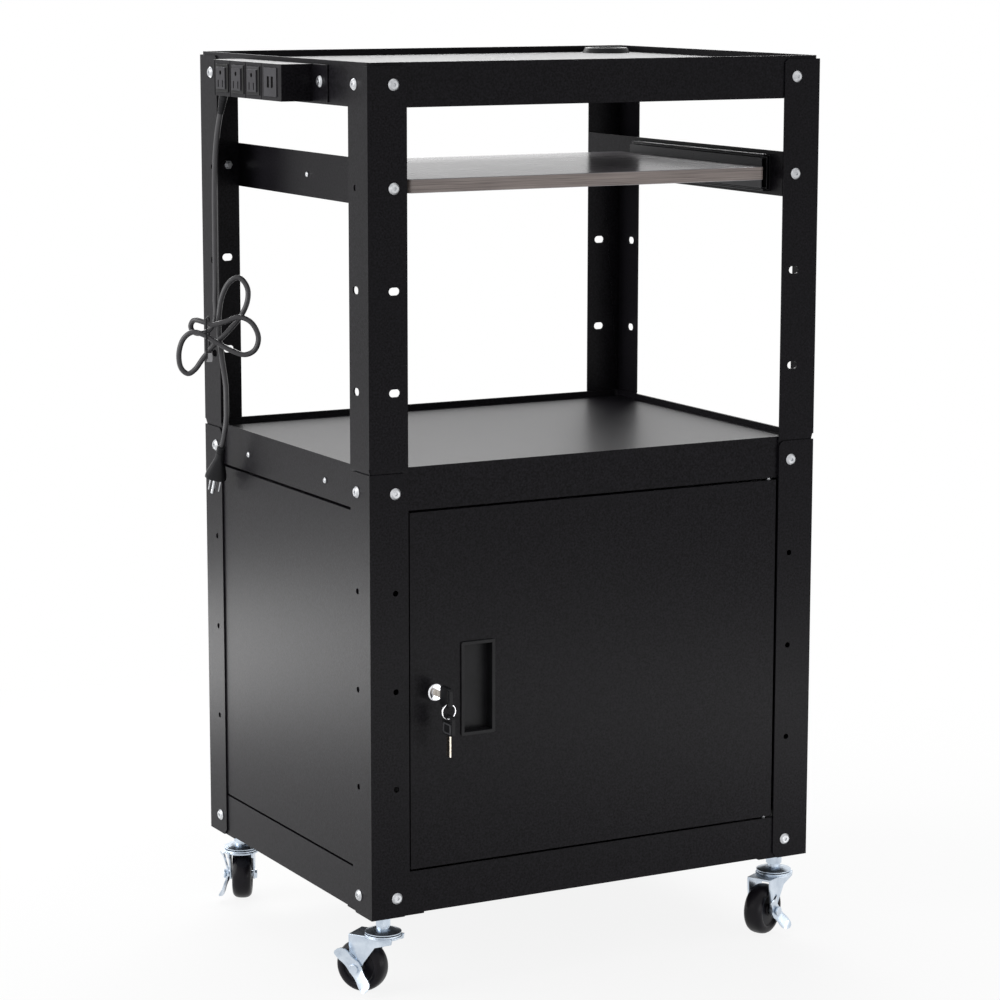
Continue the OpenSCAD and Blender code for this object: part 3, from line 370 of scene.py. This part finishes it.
COAT = surface("powder_coat", (0.002, 0.0018, 0.0024), (0.013, 0.012, 0.015), 0.33, cloud=420,
               grain_scale=520, grain_strength=0.5, rough_play=0.05, specular=0.08)
PLASTIC = surface("black_plastic", (0.009, 0.009, 0.010), (0.016, 0.016, 0.018), 0.42, cloud=30,
                  grain_scale=2500, grain_strength=0.12, grain_depth=FINE_DEPTH, specular=0.15)
SOCKET = surface("socket_plastic", (0.024, 0.023, 0.027), (0.034, 0.033, 0.038), 0.45, cloud=30,
                 grain_scale=2500, grain_strength=0.1, grain_depth=FINE_DEPTH, specular=0.2)
# Near black for the walls inside the socket slots: painted shade in the recesses
SLOT_PAINTED_SHADE = surface("slot_painted_shade", (0.002, 0.002, 0.002), (0.004, 0.004, 0.004), 0.8, cloud=30)
CORD = surface("cord_jacket", (0.030, 0.029, 0.032), (0.042, 0.041, 0.045), 0.36, cloud=40,
               grain_scale=1800, grain_strength=0.08, grain_depth=FINE_DEPTH)
STEEL = surface("bright_steel", (0.42, 0.43, 0.45), (0.68, 0.69, 0.71), 0.36, 1.0, cloud=150,
                grain_scale=3000, grain_strength=0.05, grain_depth=FINE_DEPTH)
CHROME = surface("chrome", (0.75, 0.75, 0.78), (0.88, 0.88, 0.9), 0.12, 1.0, cloud=60, grain_scale=3000,
                 grain_strength=0.02, grain_depth=FINE_DEPTH)
ZINC = surface("zinc_plate", (0.46, 0.53, 0.62), (0.68, 0.75, 0.83), 0.3, 1.0, cloud=60,
               grain_scale=1500, grain_strength=0.08, grain_depth=FINE_DEPTH)
KEY_METAL = surface("key_nickel", (0.42, 0.37, 0.31), (0.62, 0.57, 0.5), 0.28, 1.0, cloud=80,
                    grain_scale=3000, grain_strength=0.08, grain_depth=FINE_DEPTH)
RUBBER = surface("wheel_rubber", (0.006, 0.005, 0.007), (0.011, 0.010, 0.013), 0.34, cloud=40,
                 grain_scale=1600, grain_strength=0.1, grain_depth=FINE_DEPTH, specular=0.15)
SLIDE = surface("slide_steel", (0.014, 0.014, 0.016), (0.024, 0.024, 0.027), 0.3, 0.6, cloud=25,
                grain_scale=1500, grain_strength=0.08)
# Paler grey for the raised outline on the spare key's grip: a painted highlight on a real raised rim
KEY_OUTLINE_HIGHLIGHT = surface("key_outline_painted_highlight", (0.05, 0.05, 0.055), (0.08, 0.08, 0.085), 0.4, cloud=90)
TIE = surface("tie_grey", (0.25, 0.25, 0.26), (0.42, 0.42, 0.43), 0.5, cloud=90)
BOARD = board_finish("board_laminate")


# Cord
def make_cord():
    line = cord_line()
    curve = bpy.data.curves.new("power_cord", "CURVE")
    curve.dimensions = "3D"
    curve.bevel_depth = CORD_D / 2 * MM
    curve.bevel_resolution = CORD_ROUNDNESS
    curve.use_fill_caps = True
    spline = curve.splines.new("POLY")
    spline.points.add(len(line) - 1)
    for p, q in zip(spline.points, line):
        p.co = (*q, 1)
    curve.materials.append(CORD)
    obj = bpy.data.objects.new("power_cord", curve)
    bpy.context.scene.collection.objects.link(obj)
    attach(obj, "root")
    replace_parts(obj, "cord_drop", "cord_bow", "cord_tail")
    return obj, line


cord, route = make_cord()


# Strain relief: a tapered sleeve with ribs
RIBS, RIB_STEP = 6, 3.1
RIB_R, RIB_SHRINK, RIB_DEEP = 5.3, 0.25, 0.7
RIB_TOP = -3
RELIEF_SIDES = 40
RELIEF_COLLAR = [(0, 1), (5.5, 1), (5.4, -2)]
RELIEF_END = [(3.9, -22.4), (3.7, -RELIEF_LEN), (0, -RELIEF_LEN)]


def make_relief():
    profile = list(RELIEF_COLLAR)
    for i in range(RIBS):
        z = RIB_TOP - i * RIB_STEP
        r = RIB_R - i * RIB_SHRINK
        profile += [(r, z), (r, z - 1.9), (r - RIB_DEEP, z - 2.1), (r - RIB_DEEP, z - 2.9)]
    mesh = lathe(profile + RELIEF_END, RELIEF_SIDES)
    obj = link("cord_relief", mesh, "root", PLASTIC)
    obj.matrix_world = Matrix.Translation(at(*RELIEF_AT)) @ Matrix.Rotation(radians(RELIEF_TILT), 4, "X")
    smooth_shade(obj.data)
    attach(obj, "root")
    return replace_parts(obj, "strain_relief")


relief = make_relief()

# Plug on the end of the tail
PLUG_AT = Vector(CORD_TAIL[-1])
PLUG_TILT, PLUG_TURN = 26, 60
PLUG_NECK, PLUG_BODY = 13, 34
PLUG_WIDE, PLUG_THICK = 27, 19
PLUG_SIDES, PLUG_STEPS = 40, 14
PLUG_NECK_R = 5.5
PLUG_EDGE_UP, PLUG_EDGE_IN = 0.8, 1.2
PLUG_SQUARENESS = 0.75
NECK_RIBS, NECK_STEP = 4, 2.8
NECK_TOP = -0.5
NECK_RIB = [(0, 4.9), (-0.3, 5.6), (-1.5, 5.6), (-1.8, 4.7)]
NECK_START_R = 4.4
ROUND_BELOW = 6            # rings narrower than this are round


def plug_ring(share):
    """Half width and half thickness of the plug's body from its neck to its face."""
    ease = share * share * (3 - 2 * share)
    return [PLUG_NECK_R + (full / 2 - PLUG_NECK_R) * ease for full in (PLUG_WIDE, PLUG_THICK)]


def plug_profile():
    """Height, half width and half thickness down the plug."""
    profile = [(0, NECK_START_R, NECK_START_R)]
    for i in range(NECK_RIBS):
        z = NECK_TOP - i * NECK_STEP
        profile += [(z + down, r, r) for down, r in NECK_RIB]
    for i in range(PLUG_STEPS):
        profile.append((-PLUG_NECK - PLUG_BODY * i / PLUG_STEPS, *plug_ring(i / PLUG_STEPS)))
    face = -PLUG_NECK - PLUG_BODY
    profile.append((face + PLUG_EDGE_UP, PLUG_WIDE / 2, PLUG_THICK / 2))
    profile.append((face, PLUG_WIDE / 2 - PLUG_EDGE_IN, PLUG_THICK / 2 - PLUG_EDGE_IN))
    return profile


def squared(value):
    return abs(value) ** PLUG_SQUARENESS * (1 if value > 0 else -1)


def make_plug():
    bm = bmesh.new()
    rings = []
    for z, wide, thick in plug_profile():
        ring = []
        for k in range(PLUG_SIDES):
            a = 2 * pi * k / PLUG_SIDES
            x, y = squared(cos(a)) * thick, squared(sin(a)) * wide
            if wide < ROUND_BELOW:
                x, y = cos(a) * thick, sin(a) * wide
            ring.append(bm.verts.new((x * MM, y * MM, z * MM)))
        rings.append(ring)
    skin(bm, rings)
    bm.faces.new(rings[0])
    bm.faces.new(list(reversed(rings[-1])))
    obj = link("plug_shell", mesh_from(bm, "plug"), "root", PLASTIC)
    turn = Matrix.Rotation(radians(PLUG_TILT), 4, "X") @ Matrix.Rotation(radians(PLUG_TURN), 4, "Z")
    obj.matrix_world = Matrix.Translation(at(*PLUG_AT)) @ turn
    smooth_shade(obj.data, 50)
    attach(obj, "root")
    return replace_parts(obj, "plug_body")


plug = make_plug()
pins = eased("plug_pins", 0.3, STEEL)

# Tie round the bow
TIE_RIGHT = -6.5
TIE_LOW, TIE_HIGH = -28.2, 23
TIE_BACK, TIE_FRONT = -4.9, 31.8
TIE_WIRE = 1.0
TIE_CLEAR, TIE_CORNER = 0.5, 4
TIE_WIRES_AT = (-0.9, 0.1)
TIE_SWAY = 0.35
TIE_ROUNDNESS = 4
TAB_WIDE, TAB_TALL, TAB_THICK = 7, 11, 0.8
TAB_UP, TAB_LEFT, TAB_BACK = 9, -1, -0.6
TAB_ROWS = 6
TAB_LEAN = 0.8


def rounded_loop(half_w, half_h, r, steps=6):
    """Points of a rounded rectangle, anticlockwise."""
    loop = []
    for cx, cy, start in ((1, 1, 0), (-1, 1, 90), (-1, -1, 180), (1, -1, 270)):
        for i in range(steps + 1):
            a = radians(start + 90 * i / steps)
            loop.append((cx * (half_w - r) + r * cos(a), cy * (half_h - r) + r * sin(a)))
    return loop


def make_tie_wire():
    mid_f, mid_u = (TIE_BACK + TIE_FRONT) / 2, (TIE_LOW + TIE_HIGH) / 2
    deep, tall = (TIE_FRONT - TIE_BACK) / 2 + TIE_CLEAR, (TIE_HIGH - TIE_LOW) / 2 + TIE_CLEAR
    loop = rounded_loop(deep, tall, TIE_CORNER)
    curve = bpy.data.curves.new("twist_tie", "CURVE")
    curve.dimensions = "3D"
    curve.bevel_depth = TIE_WIRE / 2 * MM
    curve.bevel_resolution = TIE_ROUNDNESS
    for side in TIE_WIRES_AT:
        spline = curve.splines.new("POLY")
        spline.points.add(len(loop) - 1)
        for i, (w, v) in enumerate(loop):
            q = bow_place(TIE_RIGHT + side + TIE_SWAY * sin(i), mid_u + v, mid_f + w)
            spline.points[i].co = (*at(*q), 1)
        spline.use_cyclic_u = True
    curve.materials.append(PLASTIC)
    obj = bpy.data.objects.new("twist_tie", curve)
    bpy.context.scene.collection.objects.link(obj)
    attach(obj, "root")
    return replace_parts(obj, "cord_tie")


def make_tie_tab():
    """A bent strip: rings of four corners down its length, closed at both ends."""
    bm = bmesh.new()
    rings = []
    for i in range(TAB_ROWS + 1):
        v = TIE_LOW + TAB_UP - TAB_TALL * i / TAB_ROWS
        lean = TAB_LEAN * sin(pi * i / TAB_ROWS)
        left = TIE_RIGHT + TAB_LEFT + lean
        back = TIE_FRONT + TAB_BACK + 0.5 * lean
        right, front = left + TAB_WIDE, back + TAB_THICK
        corners = [(left, back), (right, back), (right, front), (left, front)]
        rings.append([bm.verts.new(at(*bow_place(u, v, w))) for u, w in corners])
    skin(bm, rings)
    bm.faces.new(rings[0])
    bm.faces.new(rings[-1])
    return link("tie_tab", mesh_from(bm, "tie_tab"), "root", TIE)


tie = make_tie_wire()
tie_tab = make_tie_tab()

# Finishes of the nodes whose shape stays: edge width in millimetres, material, segments and nodes
EASED = [
    (0.45, COAT, 2, ["top_tray", "middle_tray", "bottom_tray", "left_panel", "right_panel", "back_panel",
                     "corner_plates", "bracket_left", "bracket_right", "door"]),
    (0.7, COAT, 3, [part + corner for corner in CORNERS for part in ("upper_leg_", "lower_leg_")]),
    (0.6, COAT, 2, ["strip_housing"]),
    (1.0, BOARD, 2, ["shelf_board"]),
    (0.3, SLIDE, 2, ["slide_outer_rails", "slide_middle_rails", "slide_inner_rails"]),
    (0.8, PLASTIC, 3, ["grommet", "door_pull"]),
    (0.5, CHROME, 3, ["lock_housing"]),
    (0.3, CHROME, 2, ["lock_core"]),
    (0.1, CHROME, 2, ["key_ring"]),
    (0.3, STEEL, 2, ["lock_nut", "frame_bolts", "strip_bolts", "panel_screws", "slide_screws", "frame_nuts",
                     "hinge_pins"]),
    (0.3, ZINC, 2, ["lock_cam"]),
    (0.4, ZINC, 2, ["caster_stems"]),
    (0.7, ZINC, 3, ["fork_" + corner for corner in CORNERS]),
]
for width, finish, segments, nodes in EASED:
    for node in nodes:
        eased(node, width, finish, segments)

# Nodes in two finishes: the slots of the strip get painted shade, and the blades of the keys are metal
STRIP_Z = 1071.1
# Faces deeper than these x and within these half heights of the strip's middle are inside the slots and get
# the painted shade
SOCKET_DEEP_X, SOCKET_HALF = -346.7, 12
USB_DEEP_X, USB_HALF = -345.1, 8
KEY_GRIP_END = -249.8
SPARE_GRIP_END = 321.7
eased("strip_sockets", 0.35, SOCKET, 2, SLOT_PAINTED_SHADE,
      lambda c: c.x > SOCKET_DEEP_X and abs(c.z - STRIP_Z) < SOCKET_HALF)
eased("strip_usb", 0.35, SOCKET, 2, SLOT_PAINTED_SHADE, lambda c: c.x > USB_DEEP_X and abs(c.z - STRIP_Z) < USB_HALF)
eased("key", 0.5, PLASTIC, 2, KEY_METAL, lambda c: c.y > KEY_GRIP_END)
eased("spare_key", 0.5, PLASTIC, 2, KEY_METAL, lambda c: c.z < SPARE_GRIP_END)


# Wheels and brake levers
def caster_place(corner):
    side_x, side_y, turn = CORNERS[corner]
    stem = at(side_x * (LEG_X - STEM_IN), side_y * (LEG_Y - STEM_IN), 0)
    axle = Matrix.Translation((TRAIL * MM, 0, AXLE_Z * MM))
    return Matrix.Translation(stem) @ Matrix.Rotation(radians(turn), 4, "Z") @ axle


WHEEL_SIDES = 80
# Half of the wheel's section as radius and distance from its middle
WHEEL_HALF = [(0, 11.9), (6.6, 11.9), (7.6, 11.2), (8.2, 9.9), (19.6, 9.5), (21.2, 11.9), (22.4, 12.5),
              (24.5, 12.4), (27.2, 11.5), (29.2, 9.8), (30.6, 7.4), (31.3, 4.4), (31.5, 1.5)]


def make_wheel(corner):
    profile = [(r, -z) for r, z in WHEEL_HALF] + [(r, z) for r, z in reversed(WHEEL_HALF)]
    mesh = lathe(profile, WHEEL_SIDES)
    mesh.transform(caster_place(corner) @ Matrix.Rotation(radians(90), 4, "X"))
    smooth_shade(mesh, 40)
    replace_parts(link("tyre_" + corner, mesh, "roller_" + corner, RUBBER), "wheel_" + corner)


LEVER_OUT = 18.2
LEVER_LEAN = 40
LEVER_LONG = 31
LEVER_THICK = 2
LEVER_ROWS, LEVER_COLUMNS = 44, 12
# Half the lever's width by distance from its rivet
LEVER_HALF_WIDTH = [(0, 8.6), (4, 8.8), (9, 7.4), (14, 7.2), (20, 8.2), (25, 8.0), (28.5, 6.6),
                    (30.3, 4.6), (31, 2.2)]
WING_FROM, WING_SLOPE = 5, 0.3
CURL_FROM, CURL = 25, 0.06
BOSS_HIGH, BOSS_R = 1.3, 6.2
RIM_DROP, RIM_AT = 0.9, 8.5


def along_table(table, x):
    for (a, p), (b, q) in zip(table, table[1:]):
        if x <= b:
            return p + (q - p) * (x - a) / (b - a)
    return table[-1][1]


def lever_lift(across, down):
    """How far the stamped plate stands out: a boss round the rivet and wings that bend and curl out."""
    far = abs(down)
    wing = max(0.0, far - WING_FROM) * WING_SLOPE + max(0.0, far - CURL_FROM) ** 2 * CURL
    boss = BOSS_HIGH / (1 + (hypot(across, down) / BOSS_R) ** 6)
    return wing + boss - RIM_DROP * (across / RIM_AT) ** 4


def make_lever(corner):
    bm = bmesh.new()
    rows, columns = LEVER_ROWS, LEVER_COLUMNS
    sheets = []
    for lift in (LEVER_THICK, 0):
        sheet = []
        for i in range(rows + 1):
            down = LEVER_LONG * (2 * i / rows - 1)
            half = along_table(LEVER_HALF_WIDTH, abs(down))
            line = []
            for k in range(columns + 1):
                across = half * (2 * k / columns - 1)
                out = lever_lift(across, down) + lift
                line.append(bm.verts.new((across * MM, out * MM, down * MM)))
            sheet.append(line)
        sheets.append(sheet)
    for sheet in sheets:
        for i in range(rows):
            for k in range(columns):
                bm.faces.new((sheet[i][k], sheet[i][k + 1], sheet[i + 1][k + 1], sheet[i + 1][k]))
    rim = [(i, 0) for i in range(rows)] + [(rows, k) for k in range(columns)]
    rim += [(rows - i, columns) for i in range(rows)] + [(0, columns - k) for k in range(columns)]
    front, back = sheets
    for (i, k), (j, m) in zip(rim, rim[1:] + rim[:1]):
        bm.faces.new((front[i][k], front[j][m], back[j][m], back[i][k]))
    mesh = mesh_from(bm, "lever")
    place = caster_place(corner) @ Matrix.Translation((0, LEVER_OUT * MM, 0))
    mesh.transform(place @ Matrix.Rotation(radians(LEVER_LEAN), 4, "Y"))
    smooth_shade(mesh, 50)
    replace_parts(link("lever_plate_" + corner, mesh, "lever_" + corner, ZINC), "brake_" + corner)


for corner in CORNERS:
    make_wheel(corner)
    make_lever(corner)


# Raised outline on both sides of the spare key's grip, paler grey than the grip as a painted highlight
MARK_Y, MARK_Z = -267.8, 329.8
MARK_WIDE, MARK_TALL = 20, 12.5
MARK_BAR_Y, MARK_BAR_Z = 3.333, 1.6
MARK_CORNER, MARK_INNER_CORNER = 2.5, 1.2
MARK_LIFT = 0.5
KEY_X, KEY_HALF_THICK = -219.5, 2.25


def make_key_outline():
    bm = bmesh.new()
    outer = rounded_loop(MARK_WIDE / 2, MARK_TALL / 2, MARK_CORNER)
    inner = rounded_loop(MARK_WIDE / 2 - MARK_BAR_Y, MARK_TALL / 2 - MARK_BAR_Z, MARK_INNER_CORNER)
    for side in (-1, 1):
        rings = []
        for loop, lift in ((outer, 0), (outer, MARK_LIFT), (inner, MARK_LIFT), (inner, 0)):
            x = KEY_X + side * (KEY_HALF_THICK + lift)
            rings.append([bm.verts.new(at(x, MARK_Y + p, MARK_Z + q)) for p, q in loop])
        skin(bm, rings)
    mesh = mesh_from(bm, "spare_key_outline")
    smooth_shade(mesh, 40)
    link("spare_key_outline", mesh, "key_bunch", KEY_OUTLINE_HIGHLIGHT)


make_key_outline()


# Light
def area_light(name, where, target, size, size_y, power):
    data = bpy.data.lights.new(name, "AREA")
    data.shape = "RECTANGLE"
    data.size = size
    data.size_y = size_y
    data.energy = power
    obj = bpy.data.objects.new(name, data)
    obj.location = where
    aim = Vector(target) - Vector(where)
    obj.rotation_euler = aim.to_track_quat("-Z", "Y").to_euler()
    obj.visible_camera = False
    bpy.context.scene.collection.objects.link(obj)


def background_seen(nodes, links):
    """1 for rays from the camera, from a mirror or through glass."""
    path = nodes.new("ShaderNodeLightPath")
    seen = path.outputs["Is Camera Ray"]
    for name in ("Is Glossy Ray", "Is Transmission Ray"):
        either = nodes.new("ShaderNodeMath")
        either.operation = "MAXIMUM"
        links.new(seen, either.inputs[0])
        links.new(path.outputs[name], either.inputs[1])
        seen = either.outputs["Value"]
    return seen


WORLD_LEVEL = 0.45
WHITE_FROM, WHITE_AT = 0.7, 1.5
WHITE_NEAR = 0.88
FLOOR_HALF = 9
PAPER = (0.8, 0.8, 0.8, 1)
PLAIN_WHITE = (1, 1, 1, 1)


def make_world():
    world = bpy.data.worlds.new("studio")
    bpy.context.scene.world = world
    world.use_nodes = True
    nodes, links = world.node_tree.nodes, world.node_tree.links
    nodes.clear()
    plain = nodes.new("ShaderNodeBackground")
    plain.inputs["Strength"].default_value = WORLD_LEVEL
    white = nodes.new("ShaderNodeBackground")
    for light in (plain, white):
        light.inputs["Color"].default_value = PLAIN_WHITE
    mix = nodes.new("ShaderNodeMixShader")
    out = nodes.new("ShaderNodeOutputWorld")
    links.new(background_seen(nodes, links), mix.inputs["Fac"])
    links.new(plain.outputs["Background"], mix.inputs[1])
    links.new(white.outputs["Background"], mix.inputs[2])
    links.new(mix.outputs["Shader"], out.inputs["Surface"])


def make_floor():
    """White paper that keeps a soft shadow near the cart and fades into the background."""
    mesh = bpy.data.meshes.new("floor")
    signs = ((-1, -1), (1, -1), (1, 1), (-1, 1))
    mesh.from_pydata([(x * FLOOR_HALF, y * FLOOR_HALF, 0) for x, y in signs], [], [(0, 1, 2, 3)])
    obj = bpy.data.objects.new("floor", mesh)
    bpy.context.scene.collection.objects.link(obj)
    m = bpy.data.materials.new("paper")
    m.use_nodes = True
    nodes, links = m.node_tree.nodes, m.node_tree.links
    nodes.clear()
    where = nodes.new("ShaderNodeNewGeometry")
    away = nodes.new("ShaderNodeVectorMath")
    away.operation = "LENGTH"
    links.new(where.outputs["Position"], away.inputs[0])
    whiter = nodes.new("ShaderNodeMapRange")
    limits = (("From Min", WHITE_FROM), ("From Max", WHITE_AT), ("To Min", WHITE_NEAR), ("To Max", 1))
    for socket, value in limits:
        whiter.inputs[socket].default_value = value
    links.new(away.outputs["Value"], whiter.inputs["Value"])
    share = nodes.new("ShaderNodeMath")
    share.operation = "MULTIPLY"
    links.new(background_seen(nodes, links), share.inputs[0])
    links.new(whiter.outputs["Result"], share.inputs[1])
    paper = nodes.new("ShaderNodeBsdfDiffuse")
    paper.inputs["Color"].default_value = PAPER
    bright = nodes.new("ShaderNodeEmission")
    mix = nodes.new("ShaderNodeMixShader")
    out = nodes.new("ShaderNodeOutputMaterial")
    links.new(share.outputs["Value"], mix.inputs["Fac"])
    links.new(paper.outputs["BSDF"], mix.inputs[1])
    links.new(bright.outputs["Emission"], mix.inputs[2])
    links.new(mix.outputs["Shader"], out.inputs["Surface"])
    mesh.materials.append(m)


make_world()
make_floor()
area_light("left", (-3.2, 0.6, 1.6), (0, 0, 0.5), 2.4, 2.4, 70)
area_light("over_back", (0.9, 2.6, 2.6), (0, 0, 1.1), 3.0, 1.2, 110)
area_light("left_low", (-0.95, 0.95, 0.11), (-0.3, 0, 0.13), 1.5, 0.2, 4)
area_light("front_low", (0.6, -1.0, 0.1), (0.1, -0.24, 0.12), 1.3, 0.18, 2.5)
bpy.context.scene.view_settings.view_transform = "Standard"
